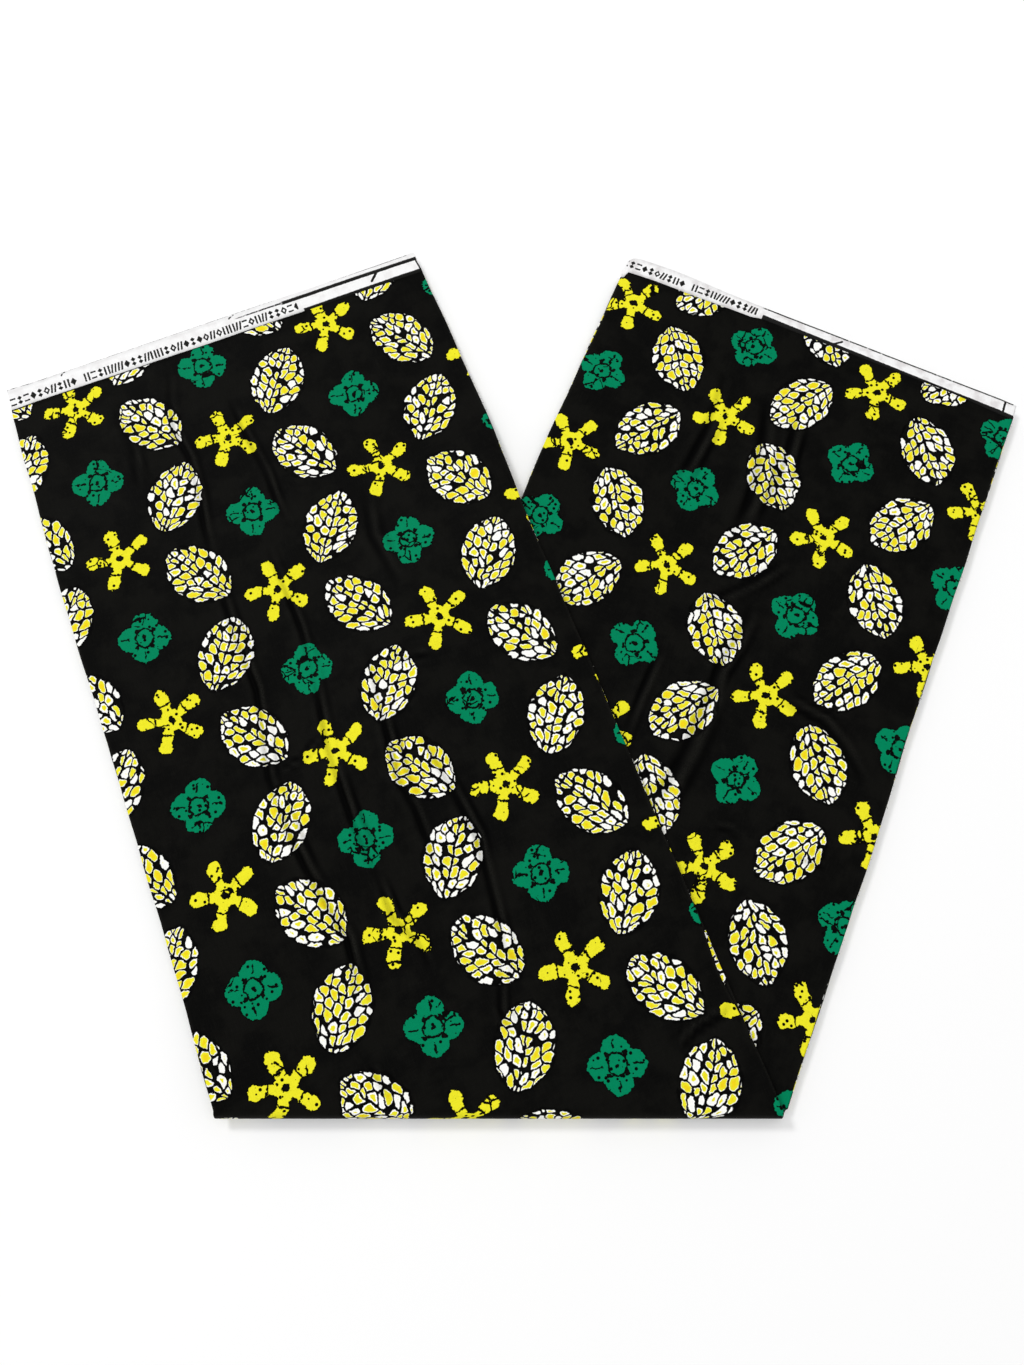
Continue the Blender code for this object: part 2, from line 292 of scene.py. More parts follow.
def creases(arm, t, s):
    """Height of the creases and waves of an arm's top ply, and its shares of painted shade in crease troughs
    and painted sheen on crease ridges.
    """
    table = LEFT_CREASES if arm is LEFT else RIGHT_CREASES
    seed = 11 if arm is LEFT else 23
    height = WAVE_HEIGHT * soft_noise(t * 55.0, s * 26.0, seed)
    height = height + CRINKLE_HEIGHT * soft_noise(t * 330.0, s * 120.0, seed + 1)
    shade = np.zeros(t.shape)
    shine = np.zeros(t.shape)
    for points, depth, half_width in table:
        line, trough, ridge = crease_line(t, s, points, depth, half_width)
        strength = min(abs(depth), 1.0) ** 0.5
        height = height + line
        shade = np.maximum(shade, CREASE_SHADE * trough * strength)
        shine = np.maximum(shine, ridge * strength)
    return height, shade, shine


def ply_height(arm, ply, calm):
    """Height of a ply's middle over its arm's underside. calm is 1 at the folds, where plies lie close."""
    level = (LAST + 0.5 - ply) * PITCH if arm is LEFT else (ply + 0.5) * PITCH
    top = level > ARM_HEIGHT - PITCH
    loose = np.where(top, LIFT, -SLACK * level / ARM_HEIGHT)
    return level + loose * (1.0 - calm)


def ply_end(arm, ply, t):
    """How far along the arm a ply ends."""
    stagger = PLY_STAGGER * np.sin(2.7 * np.round(ply) + 0.6)
    stagger = stagger + PLY_RIPPLE * np.sin(31.0 * t + np.round(ply))
    depth = (LAST - ply) / LAST
    if arm is LEFT:
        top = LEFT_PRINT_END + LEFT_TOP_REACH - ramps(t, LEFT_TOP_TAPER)
        lower = LEFT_PRINT_END + LEFT_LOWER_REACH - LEFT_LAYER_STEP * depth + stagger
        return np.where(ply < 0.5, top, lower)
    square = RIGHT_PRINT_END + RIGHT_END_SLOPE * t
    radius = np.where(t < 0.0, RIGHT_LEFT_CORNER, RIGHT_RIGHT_CORNER)
    corner = np.clip(radius - (RIGHT_CORNER_EDGE - np.abs(t)), 0.0, radius)
    cut = radius - np.sqrt(radius ** 2 - corner ** 2)
    top = square + RIGHT_TOP_REACH + SWELL_REACH * swell(t, SWELL_AT, SWELL_WIDTH) - 0.8 * cut
    lower = square + RIGHT_LOWER_REACH - RIGHT_LAYER_STEP * depth + stagger - 0.7 * cut
    return np.where(ply > LAST - 0.5, top, lower)


def print_end(arm, t):
    """How far along the arm the printed ground goes. On the right arm it draws back towards the corners."""
    if arm is LEFT:
        return LEFT_PRINT_END + 0.0 * t
    return RIGHT_PRINT_END + RIGHT_END_SLOPE * t - ramps(t, RIGHT_PRINT_DRAWN_BACK)


# A stretch of a sheet: its points, place along the flat cloth, share of painted sheen on crease ridges, folds
# and cut edges, share of painted shade in crease troughs, and t and s on its arm
Stretch = namedtuple("Stretch", "points run wear shade t s")

# A sheet's columns go through its cross-section: the share across a ply, how far past the edge, and the ply.
# They are close together where the creases are: bands of (the share a band ends at, the spacing in it).
NOSE_STEPS = 5
NOSE_REACH = 0.00022
NOSE_BULGE = 0.28
OUTER_BANDS = ((0.015, 0.003), (0.26, 0.0100), (0.70, 0.0034), (0.985, 0.0100), (1.0, 0.003))
INNER_BANDS = ((0.015, 0.003), (0.29, 0.0100), (0.60, 0.0036), (0.96, 0.0070), (1.0, 0.004))
COARSE_SHARES = (0.004, 0.03, 0.09, 0.18, 0.28, 0.39, 0.5, 0.61, 0.72, 0.82, 0.91, 0.97, 0.996)

# The outer and the inner sheet end this share into the next ply, and the middle one starts just past it
TUCKED_SHARE = 0.05
JOIN_SHARE = 0.055


def nose(ply, edge):
    """Columns round the fold that joins a ply to the next one. edge is 0 on the left, 1 on the right."""
    columns = []
    for step in range(1, NOSE_STEPS + 1):
        angle = math.pi * step / (NOSE_STEPS + 1)
        bulge = 1.0 + NOSE_BULGE * math.sin(angle)
        past = NOSE_REACH * math.sin(angle) * bulge
        columns.append((float(edge), past, ply + 0.5 - 0.5 * math.cos(angle) * bulge))
    return columns


def banded_ply(ply, bands):
    """Columns of a ply that shows, from its cut edge on the right to its left fold."""
    shares = [0.0]
    for stop, spacing in bands:
        start = shares[-1]
        count = max(1, round((stop - start) / spacing))
        shares += [start + (stop - start) * step / count for step in range(1, count + 1)]
    return [(share, 0.0, float(ply)) for share in reversed(shares)]


def tucked_ply(ply):
    """Columns of the short stretch of a ply that is tucked in past its left fold."""
    return [(share, 0.0, float(ply)) for share in np.linspace(0.0, TUCKED_SHARE, 4)]


def outer_columns():
    """Ply 0 from its cut edge on the right, round the left fold and a little way into ply 1."""
    return banded_ply(0, OUTER_BANDS) + nose(0, 0) + tucked_ply(1)


def inner_columns():
    """Ply 17 from its cut edge on the right, round the left fold and a little way into ply 16."""
    back = [(share, past, 2 * LAST - 1 - ply) for share, past, ply in nose(LAST - 1, 0)]
    return banded_ply(LAST, INNER_BANDS) + back + tucked_ply(LAST - 1)


def middle_columns(first, last):
    """Plies first to last in one zigzag. Even plies run leftwards, odd ones rightwards."""
    columns = []
    for ply in range(first, last + 1):
        rightwards = ply % 2 == 1
        shares = COARSE_SHARES if rightwards else COARSE_SHARES[::-1]
        joins_other_sheet = ply == 1 and first == 1 or ply == LAST - 1 and last == LAST - 1
        first_share = JOIN_SHARE if joins_other_sheet else 0.0
        columns += [(share, 0.0, float(ply)) for share in shares if share > first_share]
        if ply < last:
            columns += nose(ply, 1 if rightwards else 0)
    return columns


def column_rows(columns):
    """The columns' shares, reaches past the edge and plies, as three rows."""
    return np.array(columns, dtype=float).T[:, None, :]


def column_edges(arm, ply, s):
    """t of a ply's left and right edges at s. Each pair of plies that a fold joins shares its edge."""
    pair_left = np.clip(np.floor(ply / 2 + 1e-6), 0, 8).astype(int)
    pair_right = np.clip(np.floor((ply + 1) / 2 + 1e-6), 0, 9).astype(int)
    left, right = arm.left_edges[pair_left], arm.right_edges[pair_right]
    left = left + 0.00035 * np.sin(s * 30.0 + 2.1 * pair_left) + 0.0002 * np.sin(s * 105.0 + pair_left)
    right = right + 0.0003 * np.sin(s * 27.0 + 1.7 * pair_right) + 0.0002 * np.sin(s * 99.0 + pair_right)
    if arm is LEFT:
        right = right - PEEK_WIDTH * swell(s, PEEK_AT, PEEK_LENGTH) * (pair_right == 0)
    return left - ramps(s, arm.left_drift), right + ramps(s, arm.right_drift)


# How far in from its folds a ply comes loose, and how far in its creases start
LOOSE_START = 0.001
LOOSE_WIDTH = 0.014
LOOSE_LENGTH = 0.030
CREASE_FREE = -0.002
CREASE_WIDTH = 0.008
CREASE_LENGTH = 0.022

# Painted sheen at the folds and cut edges, the gap between print and white edge, and the white edge's rough
# length
EDGE_SHEEN_SHARE = 0.35
EDGE_SHEEN_WIDTH = 0.0015
END_GAP = 0.0002
END_STRETCH = 0.012


def arm_points(arm, columns, way, part):
    """Points of a sheet on one arm. way is the share of the stretch that part names, station by station."""
    share, past, ply = column_rows(columns)
    way = np.array(way)[:, None]
    full = LEFT_PRINT_END if arm is LEFT else RIGHT_PRINT_END
    left, right = column_edges(arm, ply, way * full if part == "print" else full + END_STRETCH * way)
    t = lerp(left, right, share) + np.where(share > 0.5, past, -past)
    if part == "print":
        s = lerp(arm.fold_s(t), print_end(arm, t), way)
    else:
        s = lerp(print_end(arm, t) + END_GAP, ply_end(arm, ply, t), way)
    x, y = arm.place(t, s)
    to_side = np.minimum(t - left, right - t)
    to_fold = s - arm.fold_s(t)
    calm = 1.0 - smooth((to_side - LOOSE_START) / LOOSE_WIDTH) * smooth(to_fold / LOOSE_LENGTH)
    height = ply_height(arm, ply, calm)
    top_ply = ply < 0.5 if arm is LEFT else ply > LAST - 0.5
    folds, shade, shine = creases(arm, t, s)
    fade = smooth((to_side - CREASE_FREE) / CREASE_WIDTH) * smooth(to_fold / CREASE_LENGTH)
    fade = np.where(top_ply, fade * (1.0 - hidden_share(arm, x, y)), 0.0)
    z = rest_height(arm, x, y) + height + folds * fade
    run = s if arm is LEFT else -s
    # painted sheen: on crease ridges, and in a band along each ply's folds and cut edges
    wear = np.maximum(shine * fade, EDGE_SHEEN_SHARE * np.clip(1.0 - to_side / EDGE_SHEEN_WIDTH, 0.0, 1.0))
    return Stretch(np.stack([x, y, z], axis=-1), run, wear, shade * fade, t, s)


def turn_radius(ply):
    """Half the height of a ply's half ring round the turn."""
    return (LAST + 0.5 - ply) * PITCH + ARM_HEIGHT + ARM_GAP - TURN_HEIGHT / 2


def turn_arc(ply):
    """A ply's way round the turn on the flat cloth: a half circle's length, on the slant."""
    return math.pi * turn_radius(ply) / math.cos(LEFT.angle)


def turn_points(columns, turned):
    """Points of a sheet round the turn, from the left arm's fold line over to the right arm's."""
    share, past, ply = column_rows(columns)
    turned = np.array(turned)[:, None]
    bump = np.where(share > 0.5, past, -past)
    zero = np.zeros_like(turned)
    t_left = lerp(*column_edges(LEFT, ply, zero), share) + bump
    t_right = lerp(*column_edges(RIGHT, ply, zero), share) + bump
    shift = smooth((turned - TURN_SHIFT_START) / (1.0 - TURN_SHIFT_START))
    x = lerp(LEFT.fold_x(t_left), RIGHT.fold_x(t_right), shift)
    radius = turn_radius(ply)
    angle = math.pi * turned
    y = -radius * TURN_DEPTH / (TURN_HEIGHT / 2) * np.sin(angle)
    z = TURN_HEIGHT / 2 + radius * np.cos(angle)
    run = lerp(LEFT.fold_s(t_left), -RIGHT.fold_s(t_right) - turn_arc(ply), turned)
    # painted sheen round the turn, strongest halfway round
    wear = EDGE_SHEEN_SHARE * np.sin(angle) * np.ones_like(x)
    return Stretch(np.stack([x, y, z], axis=-1), run, wear, 0.0 * x, t_left, run)


def column_run(columns):
    """Where each column is on the flat cloth, across the strip. The top plies have widths of their own."""
    widths = {0: OUTER_WIDTH, LAST: INNER_WIDTH}
    places = []
    for share, past, ply in columns:
        whole = round(ply)
        width = widths.get(whole, PANEL)
        if abs(ply - whole) > 1e-6:
            places.append((math.floor(ply) + 1) * PANEL)
        elif whole % 2:
            places.append(whole * PANEL + width * share)
        else:
            places.append((whole + 1) * PANEL - width * share)
    return np.array(places)


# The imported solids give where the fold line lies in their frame: the left edge of the left arm's top ply
# meets it at the turn's lowest x
LEFT_TOP_EDGE = -0.158
turn_low, turn_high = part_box("turn_outer_ply")
OFFSET = Vector((turn_low.x - LEFT.fold_x(LEFT_TOP_EDGE), turn_high.y + SEAM_GAP, 0.0))


def make_sheet(name, columns, stretches, material):
    """One thin sheet through columns and stretches of stations, with its place on the flat cloth as UVs."""
    points = np.concatenate([stretch.points for stretch in stretches])
    stations, count = points.shape[:2]

    def whole(field):
        parts = [np.broadcast_to(getattr(stretch, field), stretch.points.shape[:2]) for stretch in stretches]
        return np.concatenate(parts).ravel()

    across = np.broadcast_to(column_run(columns)[None, :], (stations, count)).ravel()
    flat = points.reshape(-1, 3) + np.array(OFFSET)
    index = np.arange(stations * count).reshape(stations, count)
    quads = np.stack([index[:-1, :-1], index[:-1, 1:], index[1:, 1:], index[1:, :-1]], axis=-1)
    mesh = bpy.data.meshes.new(name)
    mesh.from_pydata(flat.tolist(), [], quads.reshape(-1, 4).tolist())
    mesh.update()
    uv = mesh.uv_layers.new(name="cloth")
    places = np.stack([across, whole("run")], axis=-1)
    corners = np.empty(len(mesh.loops), dtype=np.int32)
    mesh.loops.foreach_get("vertex_index", corners)
    uv.data.foreach_set("uv", places[corners].ravel())
    for field in ("wear", "shade"):
        values = np.clip(whole(field), 0.0, 1.0)
        mesh.attributes.new(field, "FLOAT", "POINT").data.foreach_set("value", values)
    on_arm = np.stack([whole("t"), whole("s"), np.zeros(stations * count)], axis=1)
    mesh.attributes.new("arm_place", "FLOAT_VECTOR", "POINT").data.foreach_set("vector", on_arm.ravel())
    mesh.shade_smooth()
    mesh.materials.append(material)
    sheet = bpy.data.objects.new(name, mesh)
    bpy.context.scene.collection.objects.link(sheet)
    wall = sheet.modifiers.new("cloth", "SOLIDIFY")
    wall.thickness = CLOTH
    wall.offset = 0.0
    return sheet


class Field:
    """A value that nodes work out. Each sign of arithmetic on it adds a node."""

    def __init__(self, net, socket):
        self.net = net
        self.socket = socket

    def __add__(self, other):
        return self.net.math("ADD", self, other)

    def __radd__(self, other):
        return self.net.math("ADD", other, self)

    def __sub__(self, other):
        return self.net.math("SUBTRACT", self, other)

    def __rsub__(self, other):
        return self.net.math("SUBTRACT", other, self)

    def __mul__(self, other):
        return self.net.math("MULTIPLY", self, other)

    def __rmul__(self, other):
        return self.net.math("MULTIPLY", other, self)

    def __truediv__(self, other):
        return self.net.math("DIVIDE", self, other)

    def __mod__(self, other):
        return self.net.math("FLOORED_MODULO", self, other)

    def __pow__(self, other):
        return self.net.math("POWER", self, other)

    def __abs__(self):
        return self.net.math("ABSOLUTE", self)


class Net:
    """A node tree that is written as formulas: each call adds a node and returns its output as a Field."""

    def __init__(self, tree):
        self.nodes = tree.nodes
        self.links = tree.links

    def put(self, socket, value):
        if isinstance(value, Field):
            self.links.new(value.socket, socket)
        else:
            socket.default_value = value

    def outputs(self, kind, inputs, **settings):
        """A new node's outputs. Its inputs are given by name or number."""
        node = self.nodes.new(kind)
        for name, value in settings.items():
            setattr(node, name, value)
        for name, value in inputs.items():
            self.put(node.inputs[name], value)
        return [Field(self, socket) for socket in node.outputs]

    def node(self, kind, inputs, **settings):
        """A new node's first output."""
        return self.outputs(kind, inputs, **settings)[0]

    def math(self, operation, *values):
        return self.node("ShaderNodeMath", dict(enumerate(values)), operation=operation)

    def low(self, a, b):
        return self.math("MINIMUM", a, b)

    def high(self, a, b):
        return self.math("MAXIMUM", a, b)

    def soft_low(self, a, b, blend):
        return self.math("SMOOTH_MIN", a, b, blend)

    def length(self, a, b):
        return self.math("SQRT", a * a + b * b)

    def step(self, value, start, width):
        """0 below start, 1 above start + width, smooth between."""
        limits = {0: value, 1: start, 2: start + width}
        return self.node("ShaderNodeMapRange", limits, interpolation_type="SMOOTHSTEP")

    def between(self, value, start, stop, width):
        """1 from start to stop, 0 outside, with an edge as soft as width."""
        return self.step(value, start, width) * (1.0 - self.step(value, stop, width))

    def repeat(self, value, size):
        """The number of the repeat that a value falls in, and how far it is from that repeat's middle."""
        count = value / size
        return self.math("FLOOR", count), (self.math("FRACT", count) - 0.5) * size

    def join(self, x, y, z=0.0):
        return self.node("ShaderNodeCombineXYZ", {0: x, 1: y, 2: z})

    def parts(self, vector):
        return self.outputs("ShaderNodeSeparateXYZ", {0: vector})

    def noise(self, vector, scale, detail=2.0, rough=0.5):
        values = {"Vector": vector, "Scale": scale, "Detail": detail, "Roughness": rough}
        return self.node("ShaderNodeTexNoise", values)

    def stray(self, vector, scale, width, detail=2.0):
        """Noise from minus to plus half a width."""
        return (self.noise(vector, scale, detail) - 0.5) * width

    def yarns(self, x, y, fine, coarse):
        """Streaks along both ways of a weave, fine across a yarn and coarse along it."""
        one_way = self.noise(self.join(x * fine, y * coarse), 1.0, 1.0)
        other_way = self.noise(self.join(x * coarse, y * fine), 1.0, 1.0)
        return one_way + other_way

    def cells(self, vector, feature, randomness=1.0, scale=1.0):
        """Distance to scattered points, the nearest or the next one, and a random number for each point."""
        values = {"Vector": vector, "Scale": scale, "Randomness": randomness}
        found = self.outputs("ShaderNodeTexVoronoi", values, voronoi_dimensions="2D", feature=feature)
        return found[0], self.parts(found[1])[0]

    def mix(self, share, a, b):
        return self.outputs("ShaderNodeMix", {0: share, 6: a, 7: b}, data_type="RGBA")[2]

    def attribute(self, name):
        """An attribute of the mesh, as a vector and as a number."""
        return self.outputs("ShaderNodeAttribute", {}, attribute_name=name)[1:3]

    def bump(self, height, distance, strength, under=None):
        values = {"Height": height, "Distance": distance, "Strength": strength}
        if under is not None:
            values["Normal"] = under
        return self.node("ShaderNodeBump", values)


def new_material(name):
    """A material, its net and the inputs of its shader."""
    material = bpy.data.materials.new(name)
    material.use_nodes = True
    net = Net(material.node_tree)
    return material, net, net.nodes["Principled BSDF"].inputs


# The print, in millimetres: columns of leaves, and between them flowers and stars, half a step down
COLUMN_STEP = 47.5
ROW_STEP = 61.0
LEAF_HALF_LENGTH = 27.5
LEAF_HALF_WIDTH = 19.0
LEAF_TILT = math.radians(34)
CELL_LENGTH = 7.2
CELLS_ACROSS = 2.9
CELL_REACH = 0.62
CELL_RANDOMNESS = 0.70
CELL_MARGIN = 0.56
VEIN_SLANT = 0.50
FLOWER_SCALE = 1.07
FLOWER_TURN = math.radians(14)
STAR_SCALE = 0.96
STAR_STEP = math.radians(72)
STAR_TURN = 0.35 * STAR_STEP
YARN_STEP = 0.42
GROUND = (0.0020, 0.0020, 0.0018, 1.0)
GROUND_PALER = (0.0042, 0.0041, 0.0034, 1.0)
GROUND_THREAD = (0.0078, 0.0077, 0.0066, 1.0)
# painted sheen on crease ridges, folds and cut edges
GROUND_SHINE = (0.0260, 0.0255, 0.0215, 1.0)
# painted shade in crease troughs; also the dark ring round the leaves and figures
CREASE_SHADE_AND_RING_BLACK = (0.0002, 0.0002, 0.0002, 1.0)
YELLOW = (0.82, 0.77, 0.022, 1.0)
AMBER = (0.86, 0.60, 0.008, 1.0)
WHITE = (0.93, 0.93, 0.89, 1.0)
GREEN = (0.000, 0.215, 0.095, 1.0)


def turned(x, y, cosine, sine):
    return x * cosine + y * sine, y * cosine - x * sine


def leaf_cells(net, x, y, kind, cell):
    """A leaf of small cells between veins: how far inside a cell a point is, and the cell's random number."""
    tilt = (kind - 1.0) * LEAF_TILT
    lx, ly = turned(x, y, net.math("COSINE", tilt), net.math("SINE", tilt))
    radius = (LEAF_HALF_WIDTH ** 2 + LEAF_HALF_LENGTH ** 2) / (2 * LEAF_HALF_WIDTH)
    shift = radius - LEAF_HALF_WIDTH
    side = abs(lx)
    inside = radius - net.length(side + shift, ly)
    half_width = net.math("SQRT", net.high(radius ** 2 - ly * ly, 1.0)) - shift
    drawn_in = net.high(half_width, 0.0) * 0.6 + 0.4 * LEAF_HALF_WIDTH
    right_half = net.step(lx, 0.0, 0.001)
    column = side / drawn_in * CELLS_ACROSS + right_half * 17.0
    row = (ly - side * VEIN_SLANT) / CELL_LENGTH
    place = net.join(column + cell * 31.0, row + kind * 11.0)
    nearest, chance = net.cells(place, "F1", CELL_RANDOMNESS)
    next_one, _ = net.cells(place, "F2", CELL_RANDOMNESS)
    to_side = (next_one - nearest) * (CELL_LENGTH / 2)
    to_corner = (CELL_REACH - nearest) * CELL_LENGTH
    in_leaf = net.soft_low(side, inside, 1.6)
    return net.soft_low(net.soft_low(to_side, to_corner, 0.8), in_leaf, 1.0), chance


def flower(net, x, y):
    """A flower of four round petals round a ringed middle: how far inside it a point is."""
    lx, ly = turned(x, y, math.cos(FLOWER_TURN), math.sin(FLOWER_TURN))
    longer, shorter = net.high(abs(lx), abs(ly)), net.low(abs(lx), abs(ly))
    from_middle = net.length(lx, ly)
    petal = 9.4 - net.length(longer - 9.8, shorter)
    middle = 8.4 - from_middle
    vein = net.length(net.high(abs(longer - 13.2) - 3.0, 0.0), shorter) - 0.35
    notch = net.length(longer - 6.0, shorter - 6.0) - 1.5
    ring = abs(from_middle - 6.6) - 0.55
    dot = from_middle - 1.3
    body = net.high(petal, middle)
    return net.low(net.low(body, vein), net.low(net.low(ring, dot), notch))


def star(net, x, y):
    """A star of five round-ended arms round a ring: how far inside it a point is."""
    _, off_axis = net.repeat(net.math("ARCTAN2", y, x) + STAR_TURN, STAR_STEP)
    reach = net.length(x, y)
    along, away = reach * net.math("COSINE", off_axis), reach * net.math("SINE", off_axis)
    beyond = along - net.low(net.high(along, 5.5), 18.0)
    arm = net.low(along, 18.0) * 0.13 + 2.0 - net.length(beyond, away)
    split = abs(along - 10.6) - 0.45
    disc = 7.2 - reach
    hole = reach - 2.2
    return net.low(net.high(net.low(arm, split), disc), hole)


def dotted(net, u, v):
    """0 in small round specks where the dye took through the wax, 1 elsewhere."""
    distance, chance = net.cells(net.join(u, v), "F1", scale=0.21)
    return net.step(distance, net.step(chance, 0.30, 0.5) * 0.20, 0.04)


def cracked(net, u, v, pu, pv):
    """0 in a few ragged cracks of the wax, 1 elsewhere."""
    values = {"Vector": net.join(pu, pv, 3.0), "Scale": 0.105}
    to_crack = net.node("ShaderNodeTexVoronoi", values, feature="DISTANCE_TO_EDGE")
    open_here = net.step(net.noise(net.join(u, v, 70.0), 0.06, 1.0), 0.57, 0.05)
    width = open_here * (net.noise(net.join(u, v, 5.0), 0.6, 1.0) * 0.075 + 0.02)
    return net.step(to_crack, width - 0.012, 0.018)


def printed_cotton():
    """Near black ground with leaves, flowers and stars, on a waxed plain weave, with painted shade in crease
    troughs and painted sheen on crease ridges, folds and cut edges.
    """
    material, net, shader = new_material("printed cotton")
    u, v, _ = net.parts(net.node("ShaderNodeUVMap", {}, uv_map="cloth"))
    u, v = u * 1000.0, v * 1000.0
    plain = net.join(u, v)
    pu = u + net.stray(plain, 0.11, 5.0) + net.stray(net.join(u, v, 9.0), 0.6, 1.5)
    pv = v + net.stray(net.join(v, u, 40.0), 0.11, 5.0) + net.stray(net.join(v, u, 19.0), 0.6, 1.5)

    column, x = net.repeat(pu, COLUMN_STEP)
    odd = column % 2.0
    even = 1.0 - odd
    row, y = net.repeat(pv + odd * (ROW_STEP / 2), ROW_STEP)
    kind = (row + net.math("FLOOR", column * 0.5)) % 2.0 * 2.0
    first = net.step(kind, 0.5, 0.01)

    distance, chance = leaf_cells(net, x, y, kind, column * 7.0 + row)
    leaf = net.step(distance, CELL_MARGIN, 0.20) * even
    ragged = (net.noise(net.join(u, v, 12.0), 0.5) - 0.46) * 2.6
    petals = flower(net, x * FLOWER_SCALE, y * FLOWER_SCALE) - ragged
    points = star(net, x * STAR_SCALE, y * STAR_SCALE) - ragged
    solid = dotted(net, u, v) * cracked(net, u, v, pu, pv)
    bloom = net.step(petals, 0.0, 0.25) * odd * (1.0 - first) * solid
    rays = net.step(points, 0.0, 0.25) * odd * first * solid

    heart = chance ** 3.0 * 2.3 + 0.76
    inwards = distance + net.stray(net.join(u, v, 33.0), 0.45, 1.5)
    deep = net.step(inwards, heart + 0.9, 0.9) * 0.75
    leaf_colour = net.mix(net.step(inwards, heart, 0.30), WHITE, net.mix(deep, YELLOW, AMBER))

    threads = net.yarns(u, v, 2.6, 0.12)
    cloudy = net.noise(plain, 0.035, 4.0, 0.6)
    ground = net.mix(net.step(cloudy, 0.40, 0.20), GROUND, GROUND_PALER)
    ground = net.mix(net.step(threads, 0.95, 0.4) * 0.35, ground, GROUND_THREAD)
    # painted sheen on crease ridges, folds and cut edges, broken up by noise
    shine = net.attribute("wear")[1] * net.step(net.noise(plain, 1.1, 3.0), 0.25, 0.45)
    ground = net.mix(shine, ground, GROUND_SHINE)
    round_leaf = net.step(distance, -1.4, 1.4) * even
    round_figure = net.step(lerp(petals, points, first), -1.2, 1.2) * odd
    ground = net.mix(net.high(round_leaf, round_figure) * 0.75, ground, CREASE_SHADE_AND_RING_BLACK)

    colour = net.mix(leaf, ground, leaf_colour)
    colour = net.mix(bloom, colour, GREEN)
    colour = net.mix(rays, colour, YELLOW)
    patchy = (1.0 - net.step(threads, 0.70, 0.35)) * 0.10
    colour = net.mix(patchy, colour, GROUND)
    figure = net.high(leaf, net.high(bloom, rays))
    # painted shade in crease troughs, weaker over the figures
    painted_crease_shade = net.attribute("shade")[1] * (0.97 - figure * 0.62)
    net.put(shader["Base Color"], net.mix(painted_crease_shade, colour, CREASE_SHADE_AND_RING_BLACK))
    net.put(shader["Roughness"], net.stray(plain, 0.05, 0.14, 3.0) + 0.55)
    shader["Specular IOR Level"].default_value = 0.02

    yarn_rate = 2.0 * math.pi / YARN_STEP
    weave = net.math("SINE", u * yarn_rate) * net.math("SINE", v * yarn_rate) + threads * 1.6
    crinkle = net.noise(net.join(u * 0.55, v * 0.30), 1.0, 3.0)
    broad = net.bump(crinkle, 0.00030, 0.35)
    net.put(shader["Normal"], net.bump(weave, 0.00004, 0.25, broad))
    return material


MARK_STEP = 5.0
STROKE = 0.80
BARE_COTTON = (0.87, 0.87, 0.87, 1.0)
BARE_THREAD = (0.68, 0.66, 0.66, 1.0)


def mark_row(net, t, s, start, stop, foot, slope, tall):
    """A row of plain printed marks in mixed order, bars, lozenges and dashes, along a white edge."""
    index, x = net.repeat(t, MARK_STEP)
    y = s - (t * slope + (foot + tall / 2))
    ax, ay = abs(x), abs(y)
    within = tall / 2 - ay
    lozenge = ax / 2.5 + ay / (tall / 2)
    small_lozenge = ax + abs(ay - tall / 4)
    slanted = abs(abs(x - y * 0.22) - 1.25)
    shapes = (
        net.low(STROKE - abs(ax - 1.35), within),
        STROKE - abs(lozenge - 0.66) * 2.3,
        1.95 - small_lozenge,
        net.low(STROKE - slanted, within),
        (0.95 - lozenge) * 2.4,
        net.low(2.1 - ax, STROKE - abs(ay - tall / 3)),
    )
    place = {"Vector": net.join(index, 3.0, 7.0)}
    chance = net.node("ShaderNodeTexWhiteNoise", place, noise_dimensions="3D") * (len(shapes) + 0.8)
    marks = 0.0
    for number, shape in enumerate(shapes):
        picked = net.between(chance, float(number), number + 1.0, 0.001)
        marks = net.high(marks, picked * net.step(shape, 0.0, 0.25))
    return marks * net.between(t, start, stop, 0.4)


def tick(net, t, s, start, stop, half_width):
    """A short printed stroke from one point to another."""
    dt, ds = stop[0] - start[0], stop[1] - start[1]
    from_t, from_s = t - start[0], s - start[1]
    along = (from_t * dt + from_s * ds) / (dt * dt + ds * ds)
    along = net.low(net.high(along, 0.0), 1.0)
    away = net.length(from_t - along * dt, from_s - along * ds)
    return 1.0 - net.step(away, half_width, 0.2)


